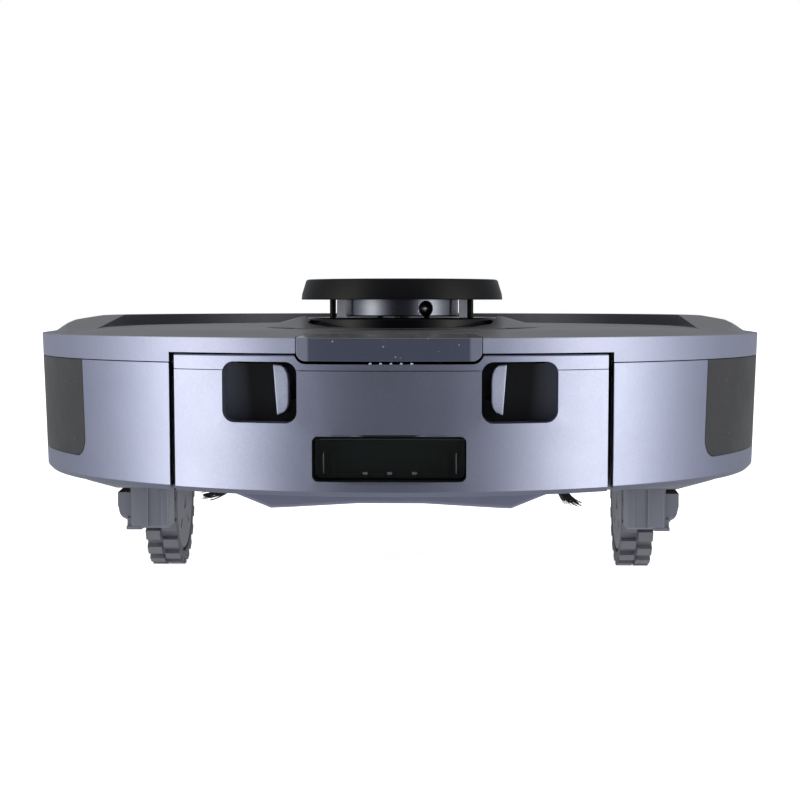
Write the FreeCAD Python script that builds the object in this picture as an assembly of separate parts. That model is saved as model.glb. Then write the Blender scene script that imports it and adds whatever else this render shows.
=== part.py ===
import FreeCAD, Part
import math
import os

os.makedirs("parts", exist_ok=True)

V = FreeCAD.Vector

# ---------------------------------------------------------------- driving dimensions (mm)
# Frame: +Y is the driving direction, +Z is up, z = 0 is the tread of the hanging wheels.

# body shell
R_RIM = 176.0            # outer radius at the rim crease
R_FOOT = 173.8           # outer radius at the lower crease
Z_RIM = 118.0            # rim crease
Z_FOOT = 55.2            # lower crease
Z_SKIRT = 53.1           # underside of the outer shells
Z_BAND = 107.6           # lower edge of the top cover's band
R_SHELL_IN = 170.2       # inner radius of the bumper and the side shells
R_LIP_IN = 168.4         # inner radius of their lower lip
SEAM = 0.3               # hairline between neighbouring shells

# pan
Z_PAN = 41.5             # underside of the pan
PAN_T = 3.0
R_PAN = 133.0            # flat part of the pan
R_PAN_RIM, Z_PAN_RIM = 161.0, 50.0   # outer edge of its cone
Z_TUB_FOOT = 51.2        # foot of the tub wall
REAR_RISE_Y = -30.0      # the pan climbs towards the rear from here
REAR_RISE = 0.115        # at this slope
R_TUB = 163.8            # outside of the upright tub wall
TUB_T = 2.3
Z_TUB = 114.8
Z_BAY_WALL = 112.8       # top of the walls around the tank bay

# top cover
DECK = [(0, 4.5), (60, 4.2), (120, 3.2), (150, 2.6), (166, 1.0), (R_RIM, 0.0)]
CREST = [(0, 8.3), (146, 8.3), (150.5, 8.1), (160.5, 6.1), (164, 4.5), (169.5, 0.95), (R_RIM, 0.0)]
Z_COVER_UNDER = 114.9
R_CREST_IN = 140.0       # inside of the raised horseshoe
RAMP_TOP_Y, RAMP_TOP_Z = 8.0, 126.4
RAMP_END_Y, RAMP_END_Z = -62.0, 120.5

# dark side windows
WINDOW_ANGLE = 52.0      # rear edge, degrees from the rear
WINDOW_Z0 = 64.0
WINDOW_CORNER = 9.0

# turret
TURRET_X, TURRET_Y = 3.0, -80.0
R_TURRET = 43.6
Z_TURRET_BASE = 113.2
Z_TURRET_TOP = 125.7
Z_CAP_BOT, Z_CAP_TOP = 133.7, 142.8
R_CAP_BOT, R_CAP_TOP = 45.75, 43.4
R_POST = 32.0            # circle that the cap's posts stand on
POST_R = 1.4
R_DRUM = 25.6

# lid over the dust bin
R_LID = 137.4
LID_GAP = 0.8
Z_LID_BOT = 117.9
LID_HINGE_Y, LID_HINGE_Z = -10.5, 119.35
LID_EDGE_R = 1.4
HINGE_PIN_R = 0.8

# water tank
TANK_HALF = 90.9         # half width of the tank
TANK_BAY_HALF = 93.3     # half width of the bay
TANK_FRONT_Y = -78.0
Z_TANK_SEAM = 104.8
Z_TANK_TOP = 111.0
Z_TANK_PLATE = 107.0
TANK_WALL = 2.5
POCKET_X, POCKET_HALF = 53.5, 15.85
POCKET_Z0, POCKET_Z1 = 83.0, 108.2
POCKET_Y = -147.5
POCKET_R = 5.0
PORT_HALF = 31.5
PORT_Z0, PORT_Z1 = 59.3, 77.9
PORT_R = 2.5
FLAP_Y, FLAP_Z = -160.0, 76.2
BAR_HALF = 37.9
BAR_CORNER = 4.0
BAR_R_IN = 163.0
Z_BAR = 108.5
KEEL_HALF_LOW, KEEL_HALF_TOP, KEEL_Z = 50.5, 68.0, 46.0
KEEL_MID_HALF, KEEL_MID_Z = 14.0, 48.0

# release levers
LEVER_IN, LEVER_OUT = 42.0, 47.5
LEVER_Z0, LEVER_Z1 = 85.9, 106.8
LEVER_TRAVEL = 3.5

# drive wheels
AXLE_Y, AXLE_Z = 2.4, 33.0
WHEEL_R = 33.0
WHEEL_X0, WHEEL_X1 = 109.0, 124.4
HUB_R = 26.0
PIVOT_Y, PIVOT_Z = 58.0, 54.0
ARM_X0, ARM_X1, COVER_X1 = 124.9, 127.0, 134.6
BLOCK_X0, BLOCK_Z0, BLOCK_Z1 = 108.9, 25.2, 46.3    # rear gear block behind the wheel
WELL_X0, WELL_X1 = 104.0, 142.0
WELL_Y0, WELL_Y1 = -63.0, 75.5
WELL_T = 1.5
Z_WELL = 114.0
LUGS = 20

# caster
CASTER_Y = 125.0
CASTER_TRAIL = 4.0
CASTER_R = 12.0
CASTER_Z = 43.5

# brushes
MAIN_Y, MAIN_Z, MAIN_R, MAIN_HALF = 30.0, 58.0, 23.0, 82.0
SIDE_X, SIDE_Y = 78.0, 106.0
SIDE_ARMS_RIGHT = (-78.0, 42.0, 162.0)   # arm headings as the brushes stand, degrees
SIDE_ARMS_LEFT = (-65.0, 55.0, 175.0)    # the same for the mirrored brush
BRISTLE_LEN = 62.0
Z_BRISTLE_TIP = 33.6

# fittings in the pan
CLIFF_SPOTS = [(-48, 112), (48, 112), (-112, -72), (112, -72)]
CONTACT_X, CONTACT_Y = 42.0, -20.0
SCREW_SPOTS = [(-30, 124), (30, 124), (-96, 82), (96, 82), (-97, -18), (97, -18),
               (-70, -20), (70, -20), (-95, 50), (95, 50)]

# battery
BATTERY_HALF = 68.0
BATTERY_Y0, BATTERY_Y1 = 62.5, 94.0
BATTERY_Z0, BATTERY_Z1 = 44.6, 82.0
COVER_HALF, COVER_Y0, COVER_Y1 = 60.0, 66.0, 91.0

# power button, filler plug, wheel motor
BUTTON_R, BUTTON_Y = 5.2, 149.5
FILLER_X, FILLER_Y = -60.0, -108.0
MOTOR_R, MOTOR_Y, MOTOR_Z = 8.0, -44.5, 34.6

BIG = 400.0


# ---------------------------------------------------------------- helpers
def box(x0, x1, y0, y1, z0, z1):
    return Part.makeBox(x1 - x0, y1 - y0, z1 - z0, V(x0, y0, z0))


def cyl(r, z0, z1, x=0.0, y=0.0):
    return Part.makeCylinder(r, z1 - z0, V(x, y, z0))


def cyl_x(r, x0, x1, y, z):
    return Part.makeCylinder(r, x1 - x0, V(x0, y, z), V(1, 0, 0))


def tube(r_out, r_in, z0, z1, x=0.0, y=0.0):
    return cyl(r_out, z0, z1, x, y).cut(cyl(r_in, z0 - 1, z1 + 1, x, y))


def tube_x(r_out, r_in, x0, x1, y, z):
    return cyl_x(r_out, x0, x1, y, z).cut(cyl_x(r_in, x0 - 1, x1 + 1, y, z))


def polygon_face(points):
    return Part.Face(Part.makePolygon(points + [points[0]]))


def revolve(profile, x=0.0, y=0.0):
    """Solid of revolution about a vertical line, from (radius, z) points."""
    face = polygon_face([V(r, 0, z) for r, z in profile])
    solid = face.revolve(V(0, 0, 0), V(0, 0, 1), 360)
    solid.translate(V(x, y, 0))
    return solid


def revolve_x(profile, y, z):
    """Solid of revolution about a line along X, from (x, radius) points."""
    face = polygon_face([V(x, r, 0) for x, r in profile])
    solid = face.revolve(V(0, 0, 0), V(1, 0, 0), 360)
    solid.translate(V(0, y, z))
    return solid


def prism_x(points, x0, x1):
    return polygon_face([V(x0, y, z) for y, z in points]).extrude(V(x1 - x0, 0, 0))


def prism_y(points, y0, y1):
    return polygon_face([V(x, y0, z) for x, z in points]).extrude(V(0, y1 - y0, 0))


def prism_z(points, z0, z1):
    return polygon_face([V(x, y, z0) for x, y in points]).extrude(V(0, 0, z1 - z0))


def wedge(angle0, angle1, z0, z1):
    """Pie slice; angles in degrees, counted from the rear (-Y) towards +X."""
    steps = 8
    points = [(0.0, 0.0)]
    for i in range(steps + 1):
        a = math.radians(angle0 + (angle1 - angle0) * i / steps)
        points.append((BIG * math.sin(a), -BIG * math.cos(a)))
    return prism_z(points, z0, z1)


def rounded(shape, direction, radius):
    """Fillet the straight edges that run along one direction."""
    edges = []
    for edge in shape.Edges:
        if len(edge.Vertexes) == 2:
            run = edge.Vertexes[1].Point.sub(edge.Vertexes[0].Point)
            if abs(run.Length - abs(run.dot(direction))) < 1e-6:
                edges.append(edge)
    return shape.makeFillet(radius, edges)


def rod(start, end, r0, r1):
    axis = end.sub(start)
    return Part.makeCone(r0, r1, axis.Length, start, axis)


def fuse(shapes):
    return shapes[0].multiFuse(shapes[1:]).removeSplitter()


def mirrored(shape):
    return shape.mirror(V(0, 0, 0), V(1, 0, 0))


def save(name, shape):
    solids = shape.Solids
    out = solids[0] if len(solids) == 1 else Part.makeCompound(solids)
    out.exportStep("parts/" + name + ".step")
    print(name, len(solids), "valid" if out.isValid() else "NOT VALID", round(out.Volume / 1000, 1))


def save_pair(name, right):
    save(name + "_right", right)
    save(name + "_left", mirrored(right))


def shell_radius(z):
    """Outer radius of the tapered body at height z."""
    return R_FOOT + (R_RIM - R_FOOT) * (z - Z_FOOT) / (Z_RIM - Z_FOOT)


def shell_ring(r_in, z_top):
    """Tapered outer ring with its chamfered lower lip, from the skirt up to z_top."""
    lip_in = min(r_in, R_LIP_IN)
    return revolve([(lip_in, Z_SKIRT), (R_FOOT - 2.1, Z_SKIRT), (R_FOOT, Z_FOOT),
                    (shell_radius(z_top), z_top), (r_in, z_top), (r_in, Z_SKIRT + 2), (lip_in, Z_SKIRT + 2)])


def outward(depth, z0, z1):
    """Outer skin of the tapered body between two heights."""
    r0, r1 = shell_radius(z0), shell_radius(z1)
    return revolve([(r0 - depth, z0), (r0, z0), (r1, z1), (r1 - depth, z1)])


# ---------------------------------------------------------------- chassis
def pan_z(y):
    """Height of the pan's underside, away from its cone."""
    return Z_PAN + max(0.0, REAR_RISE_Y - y) * REAR_RISE


def above_pan(lift):
    """Everything inside the tub and above the pan's underside, raised by lift."""
    space = revolve([(0, Z_PAN + lift), (R_PAN - lift / 3, Z_PAN + lift),
                     (R_PAN_RIM - lift / 3, Z_PAN_RIM + lift),
                     (R_TUB, Z_TUB_FOOT + lift), (R_TUB, Z_TUB), (0, Z_TUB)])
    below = prism_x([(REAR_RISE_Y, pan_z(REAR_RISE_Y) + lift), (-BIG, pan_z(-BIG) + lift),
                     (-BIG, -BIG), (REAR_RISE_Y, -BIG)], -BIG, BIG)
    return space.cut(below)


def chassis_base():
    tub = above_pan(0.0).cut(above_pan(PAN_T).common(cyl(R_TUB - TUB_T, 0, BIG)))
    parts = [tub]
    # rails beside the tank, the wall in front of it, and standing ribs for the inner units
    for side in (-1, 1):
        x0, x1 = sorted((side * TANK_BAY_HALF, side * (TANK_BAY_HALF + 2)))
        parts.append(box(x0, x1, -132, TANK_FRONT_Y + 2, Z_PAN + PAN_T, Z_BAY_WALL))
        rib = sorted((side * 74.0, side * 76.0))
        parts.append(box(rib[0], rib[1], BATTERY_Y0, BATTERY_Y1, Z_PAN + PAN_T, 80))
    parts.append(box(-TANK_BAY_HALF - 2, TANK_BAY_HALF + 2, TANK_FRONT_Y + 2, TANK_FRONT_Y + 4,
                     Z_PAN + PAN_T, Z_BAY_WALL))
    base = fuse(parts).common(above_pan(0.0))
    # the tank bay is open at the back and from below behind the contacts
    base = base.cut(box(-TANK_BAY_HALF, TANK_BAY_HALF, -BIG, TANK_FRONT_Y + 2, Z_PAN + PAN_T, BIG))
    base = base.cut(box(-TANK_BAY_HALF, TANK_BAY_HALF, -BIG, -100, 0, BIG))
    base = base.cut(box(-PORT_HALF, PORT_HALF, TANK_FRONT_Y - 1, TANK_FRONT_Y + 6, PORT_Z0, PORT_Z1))
    for side in (-1, 1):
        x0, x1 = sorted((side * (WELL_X0 + WELL_T), side * (WELL_X1 - WELL_T)))
        base = base.cut(box(x0, x1, WELL_Y0 + WELL_T, WELL_Y1 - WELL_T, 0, 60))
        base = base.cut(cyl(5.0, 0, 60, side * SIDE_X, SIDE_Y))
    base = base.cut(box(-84, 84, 5, 59, 0, 60))
    play = 0.3
    base = base.cut(box(-COVER_HALF - play, COVER_HALF + play, COVER_Y0 - play, COVER_Y1 + play, 0, 60))
    base = base.cut(cyl(21.0, 0, 60, 0, CASTER_Y))
    for x, y in CLIFF_SPOTS:
        base = base.cut(box(x - 8.2, x + 8.2, y - 4.2, y + 4.2, 0, 60))
    for x in (-CONTACT_X, CONTACT_X):
        base = base.cut(box(x - 11, x + 11, CONTACT_Y - 5, CONTACT_Y + 5, 0, 60))
    for x, y in SCREW_SPOTS:
        base = base.cut(cyl(3.2, 0, Z_PAN + 1.6, x, y)).cut(cyl(1.6, 0, 60, x, y))
    return base


def base_screws():
    screws = []
    for x, y in SCREW_SPOTS:
        head = cyl(3.0, Z_PAN + 0.2, Z_PAN + 1.6, x, y)
        shank = cyl(1.5, Z_PAN + 1.6, Z_PAN + PAN_T, x, y)
        slot_a = box(x - 2, x + 2, y - 0.35, y + 0.35, Z_PAN, Z_PAN + 0.9)
        slot_b = box(x - 0.35, x + 0.35, y - 2, y + 2, Z_PAN, Z_PAN + 0.9)
        screws.append(head.fuse(shank).cut(slot_a).cut(slot_b))
    return Part.makeCompound(screws)


def side_shell():
    ring = shell_ring(R_SHELL_IN, Z_BAND - SEAM)
    flange = revolve([(R_TUB, Z_SKIRT), (R_LIP_IN, Z_SKIRT), (R_LIP_IN, Z_SKIRT + 2), (R_TUB, Z_SKIRT + 2)])
    flange_up = revolve([(R_TUB, 101), (R_SHELL_IN, 101), (R_SHELL_IN, 103), (R_TUB, 103)])
    shell = fuse([ring, flange, flange_up])
    shell = shell.common(box(TANK_BAY_HALF, BIG, -BIG, -6.1, 0, BIG))
    return shell.cut(side_window_blank(0.0))


def side_window_blank(play):
    """Side window outline; its lower rear corner is rounded."""
    z_low = WINDOW_Z0 + play
    start = WINDOW_ANGLE + play / 3
    blank = outward(1.8 - play, z_low, Z_BAND - SEAM).common(wedge(start, 95, 0, BIG))
    turn = math.degrees(WINDOW_CORNER / R_RIM)
    corner = wedge(start - 1, start + turn, z_low - 1, z_low + WINDOW_CORNER)
    a = math.radians(start + turn)
    radial = V(math.sin(a), -math.cos(a), 0)
    bend = Part.makeCylinder(WINDOW_CORNER, 60, V(0, 0, z_low + WINDOW_CORNER) + radial * 140, radial)
    return blank.cut(corner.cut(bend))


def side_windows():
    right = side_window_blank(0.15).common(box(0, BIG, -BIG, -6.1, 0, BIG))
    return Part.makeCompound([right, mirrored(right)])


def bumper_ring():
    ring = shell_ring(R_SHELL_IN, Z_BAND - SEAM)
    return ring.common(box(-BIG, BIG, -1.0, BIG, 0, BIG))


def bumper_window_blank():
    return outward(1.6, 66.0, 99.0).common(wedge(118, 242, 0, BIG))


# ---------------------------------------------------------------- top cover
def cover_solid(profile):
    points = [(r, Z_RIM + dz) for r, dz in profile]
    r_band = shell_radius(Z_BAND)
    points += [(r_band, Z_BAND), (R_SHELL_IN - 0.3, Z_BAND), (R_SHELL_IN - 0.3, 113.5),
               (R_TUB, Z_COVER_UNDER), (0, Z_COVER_UNDER)]
    return revolve(points)


def bar_blank(play, drop):
    """Outline of the smoked bar: the band and the deck behind it, narrowing inwards."""
    half = BAR_HALF + play
    zone = rounded(box(-half, half, -BIG, 0, Z_BAR - drop, BIG), V(0, 1, 0), BAR_CORNER + play)
    plan = [(-half, -BIG), (half, -BIG), (half, -167), (half - 5, -157), (5 - half, -157), (-half, -167)]
    return zone.common(prism_z(plan, 0, BIG)).cut(cyl(BAR_R_IN - play, 0, BIG))


def top_cover():
    deck = cover_solid(DECK)
    crest = cover_solid(CREST)
    above_ramp = prism_x([(RAMP_TOP_Y, RAMP_TOP_Z), (RAMP_END_Y, RAMP_END_Z), (-BIG, RAMP_END_Z - 27),
                          (-BIG, BIG), (RAMP_TOP_Y, BIG)], -BIG, BIG)
    inner = cyl(R_CREST_IN, Z_COVER_UNDER, BIG)
    inner = inner.fuse(box(-R_CREST_IN, R_CREST_IN, -BIG, 0, Z_COVER_UNDER, BIG))
    crest = crest.cut(above_ramp).cut(inner)
    mound = revolve([(0, Z_COVER_UNDER), (63, Z_COVER_UNDER), (63, 121.4), (46, 126.0), (0, 126.0)],
                    TURRET_X, TURRET_Y)
    low_side = prism_x([(TURRET_Y - 6, 126.1), (TURRET_Y - 44, 121.2), (-BIG, 121.2), (-BIG, BIG),
                        (TURRET_Y - 6, BIG)], -BIG, BIG)
    mound = mound.cut(low_side).cut(box(-BIG, BIG, LID_HINGE_Y - 6, BIG, 0, BIG))
    # the mound steps down around the rear half of the turret base
    step = [(TURRET_X + side * (R_TURRET + dx), z) for side, dx, z in
            ((-1, -5.4, BIG), (-1, -5.4, 126.3), (-1, -2.4, 123.9), (-1, -3.8, 122.9), (-1, -12.0, 121.7),
             (1, -12.0, 121.7), (1, -3.8, 122.9), (1, -2.4, 123.9), (1, -5.4, 126.3), (1, -5.4, BIG))]
    mound = mound.cut(prism_y(step, -BIG, TURRET_Y))
    cover = fuse([deck, crest, mound])
    # hollow under the rear deck and under the horseshoe
    hollow = cyl(158, 0, 118.4).common(box(-BIG, BIG, -BIG, LID_HINGE_Y - 9, 0, BIG))
    cover = cover.cut(hollow)
    groove = tube(156, 142.5, 0, 122.6).common(box(-BIG, BIG, 20, BIG, 0, BIG))
    cover = cover.cut(groove)
    # turret socket, lid recess, bin opening
    cover = cover.cut(cyl(R_TURRET + 0.3, 0, BIG, TURRET_X, TURRET_Y))
    recess = cyl(R_LID + LID_GAP, Z_LID_BOT - 0.4, BIG)
    recess = recess.common(box(-BIG, BIG, LID_HINGE_Y - 3.1, BIG, 0, BIG))
    cover = cover.cut(recess)
    cover = cover.cut(box(-81, 81, 3, 99, 0, BIG))
    # power button well on the front of the horseshoe
    cover = cover.cut(cyl(BUTTON_R + 0.35, 0, BIG, 0, BUTTON_Y))
    cover = cover.fuse(tube(BUTTON_R + 2.5, BUTTON_R + 0.35, Z_COVER_UNDER, 122.8, 0, BUTTON_Y))
    # higher band edge over the tank, smoked bar, bumper and hinge pin clearances
    cover = cover.cut(box(-TANK_BAY_HALF, TANK_BAY_HALF, -BIG, -130, 0, 111.7))
    cover = cover.cut(bar_blank(0.3, 1.0))
    for side in (-1, 1):
        x0, x1 = sorted((side * (R_LID - 2), side * (R_LID + 6)))
        cover = cover.cut(cyl_x(HINGE_PIN_R, x0, x1, LID_HINGE_Y, LID_HINGE_Z))
    return cover


def power_button():
    cap = revolve([(0, 120.0), (BUTTON_R, 120.0), (BUTTON_R, 126.0), (BUTTON_R - 0.7, 126.7), (0, 126.9)],
                  0, BUTTON_Y)
    flange = cyl(2.2, 117.5, 120.0, 0, BUTTON_Y)
    return cap.fuse(flange)


def rear_sensor_window():
    solid = cover_solid(DECK)
    solid = solid.common(bar_blank(0.0, 0.0))
    return solid


def lid_hinge_pins():
    pins = []
    for side in (-1, 1):
        x0, x1 = sorted((side * (R_LID - 9.5), side * (R_LID + 5.5)))
        pins.append(cyl_x(HINGE_PIN_R, x0, x1, LID_HINGE_Y, LID_HINGE_Z))
    return Part.makeCompound(pins)


def top_lid():
    points = [(r, Z_RIM + dz) for r, dz in DECK if r < R_LID]
    edge_z = Z_RIM + 3.2 - (R_LID - 120) * 0.02
    points += [(R_LID - 0.6, edge_z), (R_LID, edge_z - 0.5), (R_LID, Z_LID_BOT), (0, Z_LID_BOT)]
    lid = revolve(points)
    lid = lid.common(box(-BIG, BIG, LID_HINGE_Y, BIG, 0, BIG))
    half = math.sqrt(R_LID ** 2 - (LID_HINGE_Y - LID_EDGE_R) ** 2)
    lid = lid.cut(prism_x([(LID_HINGE_Y, LID_HINGE_Z + LID_EDGE_R), (LID_HINGE_Y + 4, BIG),
                           (LID_HINGE_Y, BIG)], -BIG, BIG))
    edge = cyl_x(LID_EDGE_R, -half, half, LID_HINGE_Y, LID_HINGE_Z)
    lid = fuse([lid, edge])
    for side in (-1, 1):
        x0, x1 = sorted((side * (R_LID - 10), side * (R_LID + 5)))
        lid = lid.cut(cyl_x(HINGE_PIN_R + 0.05, x0, x1, LID_HINGE_Y, LID_HINGE_Z))
    # finger scoop at the front edge and two stiffening channels underneath
    lid = lid.cut(cyl(16.0, Z_LID_BOT + 1.2, BIG, 0, R_LID + 9.5))
    for y in (25.0, 75.0):
        lid = lid.cut(box(-70, 70, y, y + 20, 0, Z_LID_BOT + 0.9))
    return lid


# ---------------------------------------------------------------- turret
def turret_base():
    profile = [(3.06, 117.0), (7, 117.0), (7, 123.6), (R_TURRET - 2, 123.6), (R_TURRET - 2, Z_TURRET_BASE),
               (R_TURRET, Z_TURRET_BASE), (R_TURRET, Z_TURRET_TOP - 0.8), (R_TURRET - 0.8, Z_TURRET_TOP),
               (3.06, Z_TURRET_TOP)]
    base = revolve(profile, TURRET_X, TURRET_Y)
    lugs = []
    for side in (-1, 1):
        x0, x1 = sorted((TURRET_X + side * R_TURRET, TURRET_X + side * (R_TURRET + 8)))
        lugs.append(box(x0 - 1, x1 + 1, TURRET_Y - 5, TURRET_Y + 5, Z_TURRET_BASE, Z_TURRET_BASE + 1.6))
    lugs = fuse([base] + lugs)
    return lugs


def turret_posts():
    posts = []
    for angle in (14.0, 166.0, 250.0, 290.0):
        a = math.radians(angle)
        x = TURRET_X + R_POST * math.cos(a)
        y = TURRET_Y - R_POST * math.sin(a)
        post = cyl(POST_R, Z_TURRET_TOP, Z_CAP_BOT, x, y)
        posts.append(post)
    return Part.makeCompound(posts)


def turret_cap():
    z0, z1 = Z_CAP_BOT, Z_CAP_TOP
    profile = [(0, z0 + 3.2), (R_CAP_BOT - 6, z0 + 3.2), (R_CAP_BOT - 6, z0), (R_CAP_BOT - 0.2, z0),
               (R_CAP_BOT, z0 + 0.25), (R_CAP_BOT - 0.25, z0 + 2.6), (R_CAP_TOP + 0.35, z1 - 0.9),
               (R_CAP_TOP, z1 - 0.3), (R_CAP_TOP - 0.8, z1), (0, z1)]
    cap = revolve(profile, TURRET_X, TURRET_Y)
    hub = tube(R_CAP_BOT - 5, R_CAP_BOT - 19, z0, z0 + 3.3, TURRET_X, TURRET_Y)
    return fuse([cap, hub])


def lidar_drum():
    lens = math.radians(-90 + 26)
    direction = V(math.cos(lens), math.sin(lens), 0)
    drum = revolve([(0, Z_TURRET_TOP + 0.4), (R_DRUM - 0.6, Z_TURRET_TOP + 0.4), (R_DRUM, Z_TURRET_TOP + 1),
                    (R_DRUM, Z_CAP_BOT + 1.4), (R_DRUM - 0.8, Z_CAP_BOT + 2.0), (0, Z_CAP_BOT + 2.0)],
                   TURRET_X, TURRET_Y)
    drum = drum.fuse(cyl(3.0, 116.0, Z_TURRET_TOP + 1, TURRET_X, TURRET_Y))
    z_mid = (Z_TURRET_TOP + Z_CAP_BOT) / 2
    start = V(TURRET_X, TURRET_Y, z_mid).add(direction * (R_DRUM - 5.0))
    return drum.cut(Part.makeCylinder(3.5, 10, start, direction)).removeSplitter(), direction, z_mid


def lidar_lens(direction, z_mid):
    start = V(TURRET_X, TURRET_Y, z_mid).add(direction * (R_DRUM - 5.0))
    barrel = Part.makeCylinder(3.5, 1.6, start, direction)
    dome = Part.makeSphere(5.2, start.sub(direction * 2.0))
    keep = Part.makeCylinder(3.5, 3.6, start, direction)
    return barrel.fuse(dome.common(keep)).removeSplitter()


def lidar_motor():
    can = cyl(9.0, 114.0, 123.6, TURRET_X + 22, TURRET_Y + 12)
    plate = box(TURRET_X + 8, TURRET_X + 31, TURRET_Y - 2, TURRET_Y + 25, 114.0, 115.4)
    return fuse([can, plate])


# ---------------------------------------------------------------- water tank
def pocket_blank(grow, y_back):
    half = POCKET_HALF + grow
    block = box(POCKET_X - half, POCKET_X + half, -BIG, y_back, POCKET_Z0 - grow, POCKET_Z1 + grow)
    if grow == 0:
        return rounded(block, V(0, 1, 0), POCKET_R)
    return block


def port_blank(grow, y0, y1):
    half = PORT_HALF + grow
    block = box(-half, half, y0, y1, PORT_Z0 - grow, PORT_Z1 + grow)
    return rounded(block, V(0, 1, 0), PORT_R + grow)


def tank_envelope(z_top):
    solid = shell_ring(0, z_top)
    return solid.common(box(-TANK_HALF, TANK_HALF, -BIG, TANK_FRONT_Y, 0, BIG))


def tank_body():
    body = tank_envelope(Z_TANK_SEAM - SEAM)
    inner = cyl(R_FOOT - TANK_WALL - 2, Z_SKIRT + TANK_WALL, Z_TANK_SEAM - SEAM - 2)
    half = TANK_HALF - TANK_WALL
    inner = inner.common(box(-half, half, -BIG, TANK_FRONT_Y - TANK_WALL, 0, BIG))
    inner = inner.cut(box(-PORT_HALF - TANK_WALL, PORT_HALF + TANK_WALL, -BIG, 0, 0, PORT_Z1 + TANK_WALL))
    for pocket in (pocket_blank(TANK_WALL, -137), mirrored(pocket_blank(TANK_WALL, -137))):
        inner = inner.cut(pocket)
    body = body.cut(inner)
    slot = box(LEVER_IN + 1.5 - LEVER_TRAVEL - 0.4, LEVER_OUT - 1 + 0.4, POCKET_Y - 1, -139.8, 91.6, 100.4)
    for cutter in (pocket_blank(0, POCKET_Y), slot):
        body = body.cut(cutter).cut(mirrored(cutter))
    body = body.cut(port_blank(0, -BIG, 0)).cut(port_blank(0.8, -BIG, -173.0))
    body = body.cut(cyl_x(0.95, -PORT_HALF - 1.6, PORT_HALF + 1.6, FLAP_Y, FLAP_Z))
    body = body.cut(cyl(9.0, 100, BIG, FILLER_X, FILLER_Y))
    return body.removeSplitter()


def tank_cover():
    z_low = Z_TANK_SEAM - SEAM
    r_step = 172.0
    profile = [(0, z_low), (r_step, z_low), (r_step, Z_TANK_SEAM), (shell_radius(Z_TANK_SEAM), Z_TANK_SEAM),
               (shell_radius(Z_TANK_TOP - 0.6), Z_TANK_TOP - 0.6), (shell_radius(Z_TANK_TOP) - 0.6,
                                                                    Z_TANK_TOP),
               (161, Z_TANK_TOP), (161, Z_TANK_PLATE), (0, Z_TANK_PLATE)]
    cover = revolve(profile)
    cover = cover.common(box(-TANK_HALF, TANK_HALF, -BIG, TANK_FRONT_Y, 0, BIG))
    notch = BAR_HALF + 0.8
    cut = rounded(box(-notch, notch, -BIG, -100, Z_BAR - 1.2, BIG), V(0, 1, 0), BAR_CORNER + 0.8)
    cover = cover.cut(cut)
    for pocket in (pocket_blank(0, POCKET_Y), mirrored(pocket_blank(0, POCKET_Y))):
        cover = cover.cut(pocket)
    return cover.cut(cyl(9.0, 0, BIG, FILLER_X, FILLER_Y)).removeSplitter()


def filler_plug():
    plug = revolve([(0, 101.8), (8.2, 101.8), (9.0, 103.0), (9.0, 107.0), (11.5, 107.0), (11.5, 108.3),
                    (10.8, 109.0), (0, 109.0)], FILLER_X, FILLER_Y)
    tab = rounded(box(FILLER_X - 4, FILLER_X + 4, FILLER_Y - 18, FILLER_Y - 9, 107.0, 108.4), V(0, 0, 1), 3)
    return fuse([plug, tab])


def mop_mount():
    """Keel with two low runners, a raised flat middle and a shallow recess in each runner."""
    half = [(KEEL_MID_HALF, KEEL_MID_Z), (KEEL_HALF_LOW - 7, KEEL_Z + 0.3), (KEEL_HALF_LOW, KEEL_Z),
            (KEEL_HALF_TOP, Z_SKIRT)]
    outline = [(-x, z) for x, z in reversed(half)] + half
    keel = prism_y(outline, -150, -103)
    for side in (-1, 1):
        x0, x1 = sorted((side * 18.0, side * 42.0))
        keel = keel.cut(box(x0, x1, -142, -112, KEEL_Z - 1, KEEL_MID_Z + 1.2))
    return keel


def release_lever():
    """Fin with a leaning outer edge and rounded inner corners, on a stem through the tank's slot."""
    outline = [(LEVER_OUT + 0.7, LEVER_Z1), (LEVER_IN + 3.0, LEVER_Z1 - 0.3), (LEVER_IN + 1.4,
                                                                               LEVER_Z1 - 1.5),
               (LEVER_IN + 0.4, LEVER_Z1 - 3.8), (LEVER_IN, LEVER_Z1 - 7.0), (LEVER_IN, LEVER_Z0 + 5.4),
               (LEVER_IN + 0.5, LEVER_Z0 + 3.0), (LEVER_IN + 1.9, LEVER_Z0 + 1.1), (LEVER_OUT - 0.9,
                                                                                    LEVER_Z0)]
    fin = prism_y(outline, POCKET_Y - 13.3, POCKET_Y - 0.3)
    stem = box(LEVER_IN + 1.5, LEVER_OUT - 1, POCKET_Y - 1.5, -140.4, 92, 100)
    return fin.fuse(stem).removeSplitter()


def evac_flap():
    half = PORT_HALF - 0.5
    plate = rounded(box(-half, half, FLAP_Y - 0.8, FLAP_Y + 0.8, PORT_Z0 + 0.5, FLAP_Z + 1), V(0, 1, 0), 2.4)
    barrel = cyl_x(1.2, -half + 2, half - 2, FLAP_Y, FLAP_Z)
    pins = cyl_x(0.9, -PORT_HALF - 1.2, PORT_HALF + 1.2, FLAP_Y, FLAP_Z)
    ribs = []
    for x in (-24.0, 22.4):
        ribs.append(box(x, x + 1.6, FLAP_Y - 3.0, FLAP_Y, PORT_Z0 + 2, FLAP_Z - 5))
    for x in (-11.0, -0.8, 9.4):
        ribs.append(box(x, x + 1.6, FLAP_Y - 2.0, FLAP_Y, PORT_Z0 + 0.6, PORT_Z0 + 3))
    return fuse([plate, barrel, pins] + ribs)


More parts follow.
